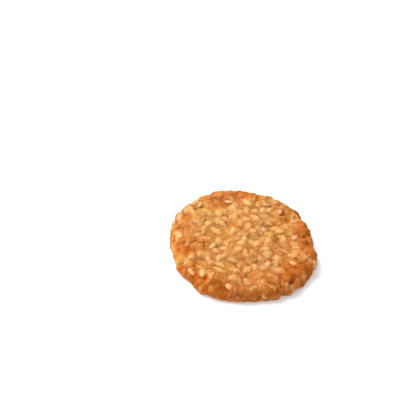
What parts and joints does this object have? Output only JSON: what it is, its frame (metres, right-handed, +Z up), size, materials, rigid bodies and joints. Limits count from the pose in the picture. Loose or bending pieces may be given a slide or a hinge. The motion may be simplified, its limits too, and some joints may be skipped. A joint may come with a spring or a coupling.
{
  "type": "sesame cookie",
  "caption": "Thin round baked sesame cookie with an uneven edge and a nearly level, gently hummocked top, lying on its flat base.",
  "frame": {"origin": "middle of the flat base, centred on the outline's box", "axes": "+Z up out of the seeded top, through the cookie's thickness; +X and +Y lie in the base"},
  "size_m": [0.0544, 0.0546, 0.0061],
  "materials": {
    "baked_dough": "golden brown baked crust, dull with a faint sheen on the seeds"
  },
  "bodies": {
    "root": {"cookie": "baked_dough"}
  },
  "joints": []
}
